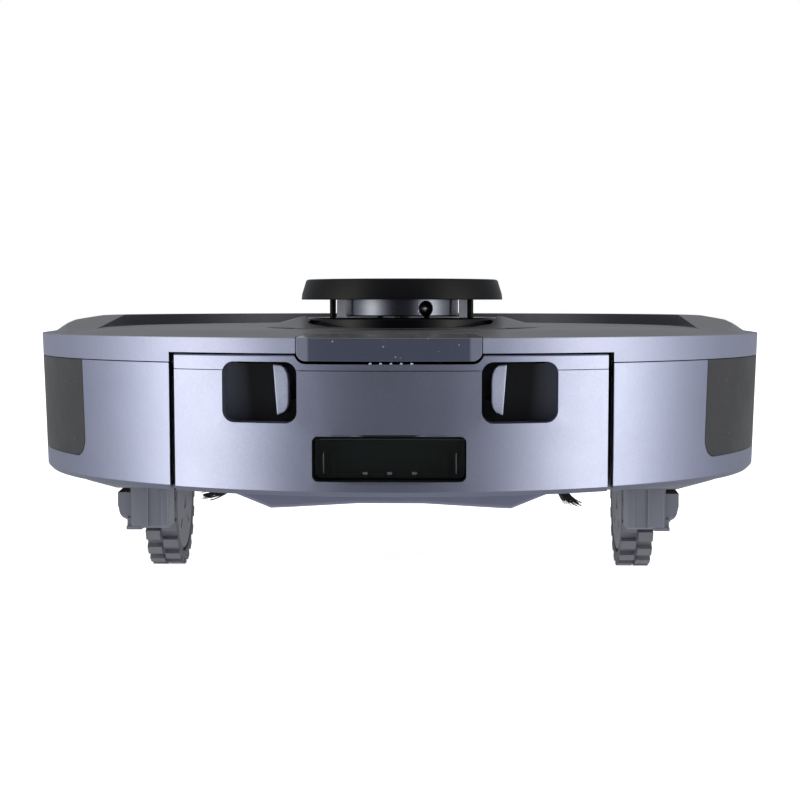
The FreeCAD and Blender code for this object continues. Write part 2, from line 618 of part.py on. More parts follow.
# ---------------------------------------------------------------- drive modules
def wheel_well():
    outer = box(WELL_X0, WELL_X1, WELL_Y0, WELL_Y1, Z_PAN + PAN_T, Z_WELL)
    t = WELL_T
    inner = box(WELL_X0 + t, WELL_X1 - t, WELL_Y0 + t, WELL_Y1 - t, 0, Z_WELL - t)
    pin = cyl_x(4.0, WELL_X0 + t / 2, WELL_X1 - t / 2, PIVOT_Y, PIVOT_Z)
    return fuse([outer.cut(inner), pin])


def arm_housing():
    outline = [(PIVOT_Y, 62.5), (PIVOT_Y, 45.5), (AXLE_Y + 8, AXLE_Z - 15), (AXLE_Y, AXLE_Z - 16.5),
               (-35, BLOCK_Z0 + 0.4), (-52, BLOCK_Z0 + 0.4), (-52, 45.5), (-35, 45.5), (AXLE_Y, 50.5),
               (40, 62.0)]
    plate = prism_x(outline, ARM_X0, ARM_X1)
    boss = cyl_x(9.0, ARM_X0, COVER_X1 - 1, PIVOT_Y, PIVOT_Z)
    block = rounded(box(BLOCK_X0, ARM_X1, -54, -35, BLOCK_Z0, BLOCK_Z1), V(1, 0, 0), 1.0)
    housing = fuse([plate, boss, block])
    housing = housing.cut(cyl_x(4.05, ARM_X0 - 5, COVER_X1 + 5, PIVOT_Y, PIVOT_Z))
    housing = housing.cut(cyl_x(3.05, ARM_X0 - 1, ARM_X1 + 1, AXLE_Y, AXLE_Z))
    return housing.cut(cyl_x(MOTOR_R, BLOCK_X0 + 1.6, ARM_X1 - 1.0, MOTOR_Y, MOTOR_Z))


def gear_cover():
    z_low = BLOCK_Z0 + 3.6
    outline = [(44, 42), (AXLE_Y + 9, AXLE_Z - 13.5), (AXLE_Y, AXLE_Z - 15), (-33, z_low), (-50, z_low),
               (-52, z_low + 2), (-52, 42), (-35, 43), (AXLE_Y, 49), (38, 60), (44, 56)]
    cover = prism_x(outline, ARM_X1, COVER_X1 - 1.2)
    # the low outboard edge is rounded off behind the axle
    edge = [(COVER_X1, 20), (COVER_X1, z_low + 8), (COVER_X1 - 1.4, z_low + 6.5), (COVER_X1 - 2.1,
                                                                                   z_low + 3.2),
            (COVER_X1 - 3.4, z_low + 1.1), (COVER_X1 - 5.4, z_low - 0.1), (COVER_X1 - 5.4, 20)]
    cover = cover.cut(prism_y(edge, -60, -22))
    boss = cyl_x(13.0, COVER_X1 - 1.2, COVER_X1, AXLE_Y, AXLE_Z)
    return fuse([cover, boss])


def wheel_motor():
    can = cyl_x(MOTOR_R, BLOCK_X0 + 2.4, ARM_X1 - 1.0, MOTOR_Y, MOTOR_Z)
    nose = cyl_x(2.6, BLOCK_X0 + 1.6, BLOCK_X0 + 2.4, MOTOR_Y, MOTOR_Z)
    return fuse([can, nose])


def wheel_hub():
    """Flat disc with a ring groove at its edge and four short slots, on its axle stub."""
    x_face = WHEEL_X0 + 0.3
    profile = [(x_face + 0.5, 0), (x_face + 0.5, 4.5), (x_face, 5.0), (x_face, HUB_R - 1.6),
               (x_face + 1.2, HUB_R - 1.2), (x_face + 1.2, HUB_R), (WHEEL_X1 - 0.6, HUB_R),
               (WHEEL_X1 - 0.6, 3.0), (ARM_X1 - 0.3, 3.0), (ARM_X1 - 0.3, 0)]
    hub = revolve_x(profile, AXLE_Y, AXLE_Z)
    for i in range(4):
        slot = box(WHEEL_X0 - 1, x_face + 1.6, -0.9, 0.9, 12.5, 18.5)
        slot.rotate(V(0, 0, 0), V(1, 0, 0), 45 + 90 * i)
        slot.translate(V(0, AXLE_Y, AXLE_Z))
        hub = hub.cut(slot)
    return hub


def tyre():
    r = WHEEL_R
    profile = [(WHEEL_X0 + 0.6, HUB_R), (WHEEL_X0, HUB_R + 0.6), (WHEEL_X0, r - 3.4), (WHEEL_X0 + 0.8,
                                                                                       r - 2.6),
               (WHEEL_X1 - 0.8, r - 2.6), (WHEEL_X1, r - 3.4), (WHEEL_X1, HUB_R + 1), (WHEEL_X1 - 0.6,
                                                                                       HUB_R)]
    shapes = [revolve_x(profile, AXLE_Y, AXLE_Z)]
    mid = (WHEEL_X0 + WHEEL_X1) / 2
    band = tube_x(r, r - 4, WHEEL_X0, WHEEL_X1, AXLE_Y, AXLE_Z)
    rows = ((WHEEL_X0, mid - 0.5, 0.0), (mid + 0.5, WHEEL_X1, 180.0 / LUGS))
    for x0, x1, phase in rows:
        for i in range(LUGS):
            lug = box(x0, x1, -2.7, 2.7, r - 3.6, r + 1)
            lug.rotate(V(0, 0, 0), V(1, 0, 0), phase + 360.0 * i / LUGS)
            lug.translate(V(0, AXLE_Y, AXLE_Z))
            shapes.append(lug.common(band))
    return fuse(shapes)


def suspension_spring():
    turns, pitch = 5, 2.3
    helix = Part.makeHelix(pitch, turns * pitch, 6.2)
    circle = Part.Wire(Part.makeCircle(0.8, V(6.2, 0, 0), V(0, 1, 0)))
    coil = Part.Wire(helix).makePipeShell([circle], True, True)
    coil.rotate(V(0, 0, 0), V(0, 1, 0), 90)
    coil.translate(V(110.5, PIVOT_Y, PIVOT_Z))
    return coil


# ---------------------------------------------------------------- caster
def caster_socket():
    cup = revolve([(18.4, Z_PAN), (20.9, Z_PAN), (20.9, 63), (9, 63), (9, 73), (4.05, 73), (4.05, 61),
                   (18.4, 61)], 0, CASTER_Y)
    return cup


def caster_fork():
    wheel_y = CASTER_Y - CASTER_TRAIL
    crown = cyl(16.6, 56.6, 60.2, 0, CASTER_Y)
    stem = cyl(4.0, 60.0, 72.0, 0, CASTER_Y)
    pin = cyl_x(1.5, -9.5, 9.5, wheel_y, CASTER_Z)
    parts = [crown, stem, pin]
    for x0 in (-9.5, 7.3):
        cheek = prism_x([(wheel_y - 6, 40), (wheel_y + 6, 40), (wheel_y + 8, 56.8), (wheel_y - 6, 56.8)],
                        x0, x0 + 2.2)
        parts.append(cheek)
    return fuse(parts)


def caster_wheel():
    wheel_y = CASTER_Y - CASTER_TRAIL
    r = CASTER_R
    profile = [(-6.5, 1.55), (-6.5, r - 3), (-4, r - 0.6), (0, r), (4, r - 0.6), (6.5, r - 3), (6.5, 1.55)]
    return revolve_x(profile, wheel_y, CASTER_Z)


# ---------------------------------------------------------------- suction path
def suction_housing():
    def envelope(r, x, z0):
        arch = cyl_x(r, -x, x, MAIN_Y, MAIN_Z)
        legs = box(-x, x, MAIN_Y - r, MAIN_Y + r + 3, z0, MAIN_Z)
        nose = box(-x, x, MAIN_Y, MAIN_Y + r + 3, z0, MAIN_Z + 12)
        return fuse([arch, legs, nose]).cut(box(-BIG, BIG, -BIG, BIG, -BIG, z0))

    shell = envelope(28.0, 88.0, Z_PAN + PAN_T).cut(envelope(26.0, 85.5, 0.0))
    duct = box(-27, 27, 13, 47, 78, 87)
    shell = shell.fuse(duct.cut(cyl_x(27.0, -BIG, BIG, MAIN_Y, MAIN_Z)))
    shell = shell.cut(box(-25, 25, 15, 45, 76, 88))
    return shell.cut(cyl_x(3.05, -BIG, BIG, MAIN_Y, MAIN_Z)).removeSplitter()


def brush_guard():
    plate = rounded(box(-90, 90, 0, 63.5, Z_PAN - 2.6, Z_PAN), V(0, 0, 1), 6)
    mouth = rounded(box(-83, 83, 5.5, 58.6, 0, 60), V(0, 0, 1), 4)
    guard = plate.cut(mouth)
    for side in (-1, 1):
        x0, x1 = sorted((side * 85.0, side * 88.5))
        guard = guard.cut(box(x0, x1, 24, 38, 0, Z_PAN - 1.6))
    return guard


def main_brush_core():
    core = cyl_x(12.5, -MAIN_HALF, MAIN_HALF, MAIN_Y, MAIN_Z)
    shaft = cyl_x(3.0, -87.6, 87.6, MAIN_Y, MAIN_Z)
    ends = []
    for x0 in (-MAIN_HALF, MAIN_HALF - 3):
        ends.append(cyl_x(15.5, x0, x0 + 3, MAIN_Y, MAIN_Z))
    return fuse([core, shaft] + ends)


def main_brush_blades():
    """Six rubber blades, each a shallow V along the roller."""
    blades = []
    x_end = MAIN_HALF - 3.2
    lead = 24.0
    for i in range(6):
        for side in (-1, 1):
            points = []
            steps = 5
            for k in range(steps + 1):
                a = math.radians(60 * i + lead * k / steps)
                points.append((side * x_end * k / steps, a))
            sections = []
            for x, a in points:
                radial = V(0, math.cos(a), math.sin(a))
                across = V(0, -math.sin(a), math.cos(a))
                centre = V(x, MAIN_Y, MAIN_Z)
                corners = [centre + radial * 12.4 - across * 1.1, centre + radial * MAIN_R - across * 0.7,
                           centre + radial * MAIN_R + across * 0.7, centre + radial * 12.4 + across * 1.1]
                sections.append(Part.makePolygon(corners + [corners[0]]))
            blades.append(Part.makeLoft(sections, True, True))
    whole = blades[0].multiFuse(blades[1:])
    return whole.cut(cyl_x(12.5, -BIG, BIG, MAIN_Y, MAIN_Z))


def brush_motor():
    case = rounded(box(-102.5, -90.5, 10, 50, Z_PAN + PAN_T, 84), V(1, 0, 0), 6)
    coupling = cyl_x(6.0, -90.5, -88.0, MAIN_Y, MAIN_Z)
    return fuse([case, coupling]).cut(cyl_x(3.2, -90, -80, MAIN_Y, MAIN_Z))


def dust_bin():
    outer = rounded(box(-80, 80, 4, 98, 87.2, 117.2), V(0, 0, 1), 8)
    inner = rounded(box(-78, 78, 6, 96, 89.2, 115.2), V(0, 0, 1), 6)
    bin_ = outer.cut(inner)
    bin_ = bin_.cut(box(-25, 25, 15, 45, 80, 95))
    bin_ = bin_.cut(box(-36, 36, 0, 10, 92, 110))
    bin_ = bin_.cut(rounded(box(-28, 28, 60, 84, 112, BIG), V(0, 0, 1), 8))
    cup = rounded(box(-30, 30, 58, 86, 105, 115.2), V(0, 0, 1), 9)
    cup = cup.cut(rounded(box(-28, 28, 60, 84, 107, BIG), V(0, 0, 1), 8))
    return fuse([bin_, cup])


def dust_filter():
    frame = box(-38, 38, -5, 4, 90, 112)
    for i in range(18):
        x = -34.0 + 4.0 * i
        frame = frame.cut(box(x - 1.2, x + 1.2, -6, -1, 92.5, 109.5))
    return frame


def fan_unit():
    volute = cyl(27.0, 50, 88, 0, -43)
    inlet = box(-36, 36, -30, -5, 88, 112)
    outlet = box(-60, -10, -66, -48, 54, 80)
    feet = []
    for x, y in ((-16, -28), (16, -28), (0, -62)):
        feet.append(cyl(3.5, pan_z(y - 4) + PAN_T, 50, x, y))
    body = fuse([volute, inlet, outlet] + feet)
    return body.cut(cyl(11.0, 112 - 8, BIG, 0, -18)).removeSplitter()


def battery_pack():
    pack = rounded(box(-BATTERY_HALF, BATTERY_HALF, BATTERY_Y0, BATTERY_Y1, BATTERY_Z0, BATTERY_Z1),
                   V(1, 0, 0), 5)
    plug = box(BATTERY_HALF, 73.8, 72, 86, 60, 72)
    return fuse([pack, plug])


def main_board():
    board = box(-84, 84, 106, 154, 90, 91.6).common(cyl(158, 80, 100))
    parts = [board]
    for x, y, w, d, h in ((-50, 118, 18, 18, 2), (-18, 122, 14, 14, 1.6), (20, 116, 24, 10, 8),
                          (52, 124, 12, 20, 5), (0, 146, 30, 6, 6)):
        parts.append(box(x - w / 2, x + w / 2, y - d / 2, y + d / 2, 91.6, 91.6 + h))
    legs = []
    for x, y in ((-78, 112), (78, 112)):
        legs.append(cyl(3.0, 75, 90, x, y))
    return fuse(parts + legs)


def side_brush_motors(base):
    right = fuse([cyl(11.0, Z_PAN + PAN_T, 54, SIDE_X, SIDE_Y), cyl(9.0, 54, 74, SIDE_X, SIDE_Y),
                  box(SIDE_X, SIDE_X + 18, SIDE_Y - 6, SIDE_Y + 6, 50, 56)])
    right = right.cut(cyl(2.55, 0, 52, SIDE_X, SIDE_Y)).common(above_pan(0.0)).cut(base)
    return Part.makeCompound([right, mirrored(right)])


def side_brush_hub(arms):
    hub = revolve([(0, 35.2), (9, 35.2), (12, 36.8), (12, 39.2), (9, 40.4), (2.5, 40.4), (2.5, 51.5),
                   (0, 51.5)],
                  SIDE_X, SIDE_Y)
    parts = [hub]
    for angle in arms:
        arm = prism_z([(0, -4.6), (27, -2.6), (27, 2.6), (0, 4.6)], 35.6, 38.6)
        arm.rotate(V(0, 0, 0), V(0, 0, 1), angle)
        arm.translate(V(SIDE_X, SIDE_Y, 0))
        parts.append(arm)
    return fuse(parts)


def side_brush_bristles(arms, hub):
    """Flared tufts that droop towards the floor from the ends of the arms."""
    tufts = []
    for angle in arms:
        for spread in (-7.0, -3.5, 0.0, 3.5, 7.0):
            root = math.radians(angle + spread * 0.35)
            tip = math.radians(angle + spread)
            start = V(SIDE_X + 27 * math.cos(root), SIDE_Y + 27 * math.sin(root), 36.6)
            end = V(SIDE_X + BRISTLE_LEN * math.cos(tip), SIDE_Y + BRISTLE_LEN * math.sin(tip),
                    Z_BRISTLE_TIP)
            tufts.append(rod(start, end, 0.75, 0.6).cut(hub))
    return Part.makeCompound(tufts)


def cliff_sensors():
    sensors = []
    for x, y in CLIFF_SPOTS:
        z_face = pan_z(y - 4) + 0.3
        body = box(x - 8, x + 8, y - 4, y + 4, z_face, z_face + 8)
        for lens_x in (x - 3.8, x + 3.8):
            body = body.cut(cyl(2.4, z_face - 1, z_face + 0.8, lens_x, y))
        sensors.append(body)
    return Part.makeCompound(sensors)


def charge_contacts():
    plates = []
    for x in (-CONTACT_X, CONTACT_X):
        plate = rounded(box(x - 10.8, x + 10.8, CONTACT_Y - 4.8, CONTACT_Y + 4.8, Z_PAN - 0.4, Z_PAN + 1.6),
                        V(0, 0, 1), 3)
        tail = box(x - 2, x + 2, CONTACT_Y - 2, CONTACT_Y + 2, Z_PAN + 1.6, 47)
        plates.append(plate.fuse(tail))
    return Part.makeCompound(plates)


def bumper_switches():
    switches = []
    for side in (-1, 1):
        case = box(-6, 6, -5, 5, 68, 80)
        lever = box(-4, 4, 5, 6.5, 76, 77.5)
        unit = case.fuse(lever)
        unit.translate(V(side * 60, 138, 0))
        switches.append(unit)
    return Part.makeCompound(switches)


# ---------------------------------------------------------------- write the parts
chassis = chassis_base()
save("chassis_base", chassis)
save("base_screws", base_screws())
save("top_cover", top_cover())
save_pair("side_shell", side_shell())
save("side_windows", side_windows())
save("bumper_shell", bumper_ring().cut(bumper_window_blank()))
save("bumper_window", bumper_window_blank())
save("rear_sensor_window", rear_sensor_window())
save("power_button", power_button())
save("lid_hinge_pins", lid_hinge_pins())
save("top_lid", top_lid())
save("turret_base", turret_base())
save("turret_posts", turret_posts())
save("turret_cap", turret_cap())
drum, lens_direction, lens_z = lidar_drum()
save("lidar_drum", drum)
save("lidar_lens", lidar_lens(lens_direction, lens_z))
save("lidar_motor", lidar_motor())
save("tank_body", tank_body())
save("tank_cover", tank_cover())
save("filler_plug", filler_plug())
save("mop_mount", mop_mount())
save_pair("release_lever", release_lever())
save("evac_flap", evac_flap())
well = wheel_well().common(above_pan(0.0)).cut(chassis)
save("wheel_wells", Part.makeCompound([well, mirrored(well)]))
save_pair("arm_housing", arm_housing())
save_pair("gear_cover", gear_cover())
save_pair("wheel_motor", wheel_motor())
save_pair("wheel_hub", wheel_hub())
save_pair("tyre", tyre())
spring = suspension_spring()
save("suspension_springs", Part.makeCompound([spring, mirrored(spring)]))
save("caster_socket", caster_socket())
save("caster_fork", caster_fork())
save("caster_wheel", caster_wheel())
save("suction_housing", suction_housing())
save("brush_guard", brush_guard())
save("main_brush_core", main_brush_core())
save("main_brush_blades", main_brush_blades())
save("brush_motor", brush_motor())
save("dust_bin", dust_bin())
save("dust_filter", dust_filter())
save("fan_unit", fan_unit())
save("battery_pack", battery_pack())
save("battery_cover", box(-COVER_HALF, COVER_HALF, COVER_Y0, COVER_Y1, Z_PAN, Z_PAN + PAN_T))
save("main_board", main_board())
save("side_brush_motors", side_brush_motors(chassis))
for side, arms, turned in (("right", SIDE_ARMS_RIGHT, False), ("left", SIDE_ARMS_LEFT, True)):
    hub = side_brush_hub(arms)
    bristles = side_brush_bristles(arms, hub)
    save("side_brush_hub_" + side, mirrored(hub) if turned else hub)
    save("side_brush_bristles_" + side, mirrored(bristles) if turned else bristles)
save("cliff_sensors", cliff_sensors())
save("charge_contacts", charge_contacts())
save("bumper_switches", bumper_switches())
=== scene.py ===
import math
import random

import bpy
import bmesh
from mathutils import Matrix, Vector


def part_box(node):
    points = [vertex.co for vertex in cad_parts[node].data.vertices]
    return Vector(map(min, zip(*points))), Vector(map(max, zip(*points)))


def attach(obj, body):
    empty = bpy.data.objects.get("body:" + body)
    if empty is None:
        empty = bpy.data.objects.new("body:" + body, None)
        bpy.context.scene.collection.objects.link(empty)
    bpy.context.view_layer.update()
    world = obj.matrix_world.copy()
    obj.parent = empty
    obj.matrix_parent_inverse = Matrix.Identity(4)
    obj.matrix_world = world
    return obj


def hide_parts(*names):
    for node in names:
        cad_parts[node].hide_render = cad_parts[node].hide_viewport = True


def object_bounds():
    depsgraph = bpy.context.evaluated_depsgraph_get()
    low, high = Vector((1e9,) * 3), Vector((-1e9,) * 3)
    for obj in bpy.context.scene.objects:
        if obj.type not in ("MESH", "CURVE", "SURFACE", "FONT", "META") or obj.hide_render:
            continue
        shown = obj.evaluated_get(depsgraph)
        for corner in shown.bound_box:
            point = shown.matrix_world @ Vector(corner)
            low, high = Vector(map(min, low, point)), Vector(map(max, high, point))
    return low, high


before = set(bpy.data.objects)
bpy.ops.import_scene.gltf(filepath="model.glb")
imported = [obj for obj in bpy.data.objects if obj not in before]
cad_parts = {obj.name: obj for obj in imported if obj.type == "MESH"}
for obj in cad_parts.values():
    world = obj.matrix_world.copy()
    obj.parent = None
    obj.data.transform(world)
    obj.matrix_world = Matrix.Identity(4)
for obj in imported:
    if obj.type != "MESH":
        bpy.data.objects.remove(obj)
cad_low, cad_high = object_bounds()

MM = 0.001

# ------------------------------------------------------------------ body, in metres
R_FOOT, R_RIM = 0.1738, 0.176        # the body widens from its foot to its rim
Z_FOOT, Z_RIM = 0.0552, 0.118
AXLE_Y, AXLE_Z = 0.0024, 0.033       # drive wheel axle
POCKET_X0, POCKET_X1 = 0.0362, 0.0712    # finger pockets, either side
POCKET_Z0, POCKET_Z1 = 0.0808, 0.1102
POCKET_EDGE = 0.0006
BAR_END = 0.0325                     # the smoked bar is clearer outside this
SIDE_BRUSH_X, SIDE_BRUSH_Y = 0.078, 0.106
SIDE_ARMS = {1: (-78.0, 42.0, 162.0), -1: (-65.0, 55.0, 175.0)}
BRISTLES = 44                        # in each tuft
BRISTLE_ROOT, BRISTLE_LEN = 0.0235, 0.064
BRISTLE_R, BRISTLE_Z = 0.00028, 0.0371
GEAR_FACE_Y = -0.054                 # back of the gear housings

# ------------------------------------------------------------------ colours
PAINT = (0.345, 0.37, 0.505)
PAINT_METAL = 0.92
# grey of the top faces: the body paint as it looks lit from above, painted light
TOP_LIT_GREY = (0.205, 0.203, 0.212)
# lighter bluish colour on the crest slopes, a painted highlight
CREST_HIGHLIGHT = (0.25, 0.26, 0.33)
BLACK = (0.010, 0.010, 0.011)
FLAKE_SCALE = 2600.0
COAT_ROUGH = 0.12

# ------------------------------------------------------------------ camera and studio
CAM_DISTANCE, CAM_HEIGHT = 0.890, 0.1321
CAM_AZIMUTH, CAM_PITCH = 1.5, 3.13
CAM_LENS = 79.7
FLOOR_GLOW = 0.90
FLOOR_DROP = 0.0002                  # keeps the floor clear of the wheels
# brightness of the studio by heading: 0 looks back at the camera, 1 looks at the backdrop
STUDIO = [(0.0, 0.05), (0.012, 0.055), (0.03, 0.09), (0.055, 0.24), (0.09, 0.55), (0.14, 1.2), (0.195, 2.3),
          (0.255, 3.2), (0.31, 3.1), (0.37, 2.4), (0.44, 1.45), (0.53, 0.85), (0.63, 0.52), (0.75, 0.38),
          (0.85, 0.33), (1.0, 0.33)]
STUDIO_TOP = 3.2
COOL, WARM = (0.98, 1.02, 1.10), (1.03, 1.0, 0.89)
CEILING, TABLE = 0.35, 0.30
TOP_LIGHT = 4.0                      # watts


# ------------------------------------------------------------------ helpers
def make_camera():
    data = bpy.data.cameras.new("camera")
    data.sensor_width = 36.0
    data.lens = CAM_LENS
    data.clip_start, data.clip_end = 0.05, 50.0
    cam = bpy.data.objects.new("camera", data)
    bpy.context.scene.collection.objects.link(cam)
    azimuth = math.radians(CAM_AZIMUTH)
    cam.location = (CAM_DISTANCE * math.sin(azimuth), -CAM_DISTANCE * math.cos(azimuth), CAM_HEIGHT)
    cam.rotation_euler = (math.radians(90.0 - CAM_PITCH), 0.0, azimuth)
    bpy.context.scene.camera = cam


class Graph:
    """Small helper round a node tree."""

    def __init__(self, tree):
        self.tree = tree

    def node(self, kind, inputs=None, **props):
        made = self.tree.nodes.new(kind)
        for key, value in props.items():
            setattr(made, key, value)
        for key, value in (inputs or {}).items():
            self.put(made, key, value)
        return made

    def put(self, made, key, value):
        socket = made.inputs[key]
        if isinstance(value, bpy.types.NodeSocket):
            self.tree.links.new(value, socket)
        else:
            socket.default_value = value

    def math(self, op, a, b=0.0, c=0.0):
        made = self.node("ShaderNodeMath", operation=op)
        for i, value in enumerate((a, b, c)):
            self.put(made, i, value)
        return made.outputs[0]

    def span(self, value, low, high, out_low=0.0, out_high=1.0):
        made = self.node("ShaderNodeMapRange", {"Value": value, "From Min": low, "From Max": high,
                                                "To Min": out_low, "To Max": out_high})
        return made.outputs["Result"]

    def between(self, value, low, high, edge):
        """1 between the limits, fading to 0 over the edge width inside each."""
        return self.math("MULTIPLY", self.span(value, low, low + edge), self.span(value, high, high - edge))

    def mix(self, factor, a, b):
        made = self.node("ShaderNodeMix", data_type="RGBA")
        for key, value in ((0, factor), (6, a), (7, b)):
            self.put(made, key, value)
        return made.outputs[2]

    def noise(self, scale, detail=3.0, rough=0.5, vector=None):
        made = self.node("ShaderNodeTexNoise", {"Scale": scale, "Detail": detail, "Roughness": rough})
        self.put(made, "Vector", vector if vector else self.coords())
        return made.outputs["Fac"]

    def specks(self, scale, size, vector=None):
        made = self.node("ShaderNodeTexVoronoi", {"Scale": scale, "Randomness": 1.0})
        self.put(made, "Vector", vector if vector else self.coords())
        return self.span(made.outputs["Distance"], size, size * 0.5)

    def coords(self):
        if not hasattr(self, "_coords"):
            self._coords = self.node("ShaderNodeTexCoord").outputs["Object"]
        return self._coords

    def xyz(self):
        if not hasattr(self, "_xyz"):
            split = self.node("ShaderNodeSeparateXYZ", {0: self.coords()})
            self._xyz = [split.outputs[i] for i in range(3)]
        return self._xyz

    def depth(self):
        """Distance below the tapered outer skin of the body."""
        x, y, z = self.xyz()
        r = self.math("SQRT", self.math("ADD", self.math("MULTIPLY", x, x), self.math("MULTIPLY", y, y)))
        skin = self.span(z, Z_FOOT, Z_RIM, R_FOOT, R_RIM)
        return self.math("SUBTRACT", skin, r)


def rgb(r, g, b):
    return (r, g, b, 1.0)


def material(name, base, rough, metallic=0.0, vary=0.08, grain=900.0, grain_bump=0.05, coat=0.0, specular=0.5,
             extra=None, flake=0.0, rough_vary=0.06, smudge=14.0):
    """Moulded or painted surface: cloudy colour and roughness, fine grain in the bump."""
    mat = bpy.data.materials.new(name)
    mat.use_nodes = True
    g = Graph(mat.node_tree)
    shader = mat.node_tree.nodes["Principled BSDF"]
    cloud = g.noise(smudge, 4.0, 0.6)
    dark = rgb(*[c * (1 - vary) for c in base])
    light = rgb(*[min(1.0, c * (1 + vary)) for c in base])
    colour = g.mix(cloud, dark, light)
    if flake:
        fleck = g.node("ShaderNodeTexVoronoi", {"Scale": FLAKE_SCALE, "Vector": g.coords()}).outputs["Color"]
        value = g.node("ShaderNodeSeparateColor", {0: fleck}).outputs[0]
        bright = rgb(*[min(1.0, c * (1 + flake)) for c in base])
        colour = g.mix(g.span(value, 0.55, 1.0, 0.0, 0.55), colour, bright)
    rough_socket = g.span(g.noise(smudge * 2.3, 5.0, 0.65), 0.3, 0.7, rough - rough_vary, rough + rough_vary)
    if extra:
        colour, rough_socket = extra(g, colour, rough_socket, shader)
    g.put(shader, "Base Color", colour)
    g.put(shader, "Roughness", rough_socket)
    shader.inputs["Metallic"].default_value = metallic
    shader.inputs["Coat Weight"].default_value = coat
    shader.inputs["Coat Roughness"].default_value = COAT_ROUGH
    shader.inputs["Specular IOR Level"].default_value = specular
    bump = g.node("ShaderNodeBump", {"Strength": grain_bump, "Distance": 0.2 * MM,
                                     "Height": g.noise(grain, 2.0)})
    g.put(shader, "Normal", bump.outputs["Normal"])
    return mat


def shell_extra(g, colour, rough, shader):
    """Paint stops a millimetre inside an edge and the surface behind is black, bare plastic and painted shade
    in the gaps; in the finger pockets the black fades in over their depth instead, painted shade."""
    x, _, z = g.xyz()
    depth = g.depth()
    # black beyond a millimetre below the skin: bare plastic and painted shade in the gaps
    crisp = g.span(depth, 0.0009, 0.0013)
    across = g.math("ABSOLUTE", x)
    pocket = g.math("MULTIPLY", g.between(across, POCKET_X0, POCKET_X1, POCKET_EDGE),
                    g.between(z, POCKET_Z0, POCKET_Z1, POCKET_EDGE))
    # painted shade: the pocket darkens gradually with depth
    pocket_shade = g.math("POWER", g.span(depth, 0.0010, 0.0165), 1.25)
    above = g.span(z, 0.0545, 0.0549)
    inside = g.math("ADD", g.math("MULTIPLY", pocket, pocket_shade),
                    g.math("MULTIPLY", g.math("SUBTRACT", 1.0, pocket), crisp))
    black_and_shade_mask = g.math("MULTIPLY", inside, above)
    metal = g.math("MULTIPLY", g.math("SUBTRACT", 1.0, black_and_shade_mask), PAINT_METAL)
    g.put(shader, "Metallic", metal)
    return g.mix(black_and_shade_mask, colour, rgb(*BLACK)), g.math("ADD", rough, g.math("MULTIPLY", black_and_shade_mask, 0.05))


def cover_extra(g, colour, rough, shader):
    """The band keeps the body colour. The top faces are grey, painted light: the same paint as it looks lit
    from above; the crest slopes are lighter and bluish, a painted highlight; steep inner faces are dark,
    painted shade; recesses are black, standing for bare plastic and for painted shade.
    """
    x, _, z = g.xyz()
    normal = g.node("ShaderNodeSeparateXYZ", {0: g.node("ShaderNodeTexCoord").outputs["Normal"]}).outputs[2]
    up = g.span(z, 0.1176, 0.1182)
    # painted light: the grey the top faces take in place of the body paint
    top = g.mix(g.noise(18.0, 4.0), rgb(*[c * 0.93 for c in TOP_LIT_GREY]), rgb(*[c * 1.07 for c in TOP_LIT_GREY]))
    # painted shade: steep faces well inside the skin are darkened
    steep_shade = g.math("MULTIPLY", g.span(normal, 0.75, 0.55), g.span(g.depth(), 0.008, 0.010))
    # painted highlight: nearly level faces near the crest are lighter and bluish
    crest_highlight = g.math("MULTIPLY", g.span(normal, 0.99, 0.93), g.span(g.math("ABSOLUTE", x), 0.056, 0.068))
    top = g.mix(crest_highlight, top, rgb(*CREST_HIGHLIGHT))
    top = g.mix(steep_shade, top, rgb(0.050, 0.052, 0.064))
    colour = g.mix(up, colour, top)
    # black from a millimetre inside the skin below the top: bare plastic and painted shade in the recesses
    inside = g.span(g.depth(), 0.0012, 0.0016)
    low = g.span(z, 0.11765, 0.11755)
    black_and_shade_mask = g.math("MULTIPLY", inside, low)
    g.put(shader, "Metallic", g.math("MULTIPLY", g.math("SUBTRACT", 1.0, black_and_shade_mask), PAINT_METAL * 0.85))
    return g.mix(black_and_shade_mask, colour, rgb(*BLACK)), rough


def window_extra(g, colour, rough, shader):
    """Fine and coarse dust on the dark side windows."""
    colour = g.mix(g.specks(900.0, 0.16), colour, rgb(0.16, 0.16, 0.17))
    return g.mix(g.specks(160.0, 0.05), colour, rgb(0.35, 0.35, 0.36)), rough


def bar_extra(g, colour, rough, shader):
    """Smoked bar: clearer ends, dust and hair scratches on its face, and a grey top face, painted light."""
    x, _, z = g.xyz()
    end = g.span(g.math("ABSOLUTE", x), BAR_END, BAR_END + MM)
    colour = g.mix(end, colour, rgb(0.125, 0.137, 0.195))
    # painted light: the upward face takes the grey of the lit top faces
    top = g.span(z, 0.1177, 0.1183)
    colour = g.mix(top, colour, rgb(0.20, 0.20, 0.205))
    stretch = g.node("ShaderNodeMapping", {"Vector": g.coords(), "Scale": (1.0, 1.0, 9.0),
                                           "Rotation": (0.0, 0.6, 0.0)}).outputs[0]
    hair = g.specks(70.0, 0.05, stretch)
    colour = g.mix(g.math("MULTIPLY", hair, 0.5), colour, rgb(0.30, 0.33, 0.40))
    dust = g.specks(240.0, 0.10)
    return g.mix(g.math("MULTIPLY", dust, 0.6), colour, rgb(0.45, 0.47, 0.52)), rough


def guide_extra(g, colour, rough, shader):
    """Frosted clear plastic that lets light through."""
    g.put(shader, "Transmission Weight", 0.85)
    return colour, rough


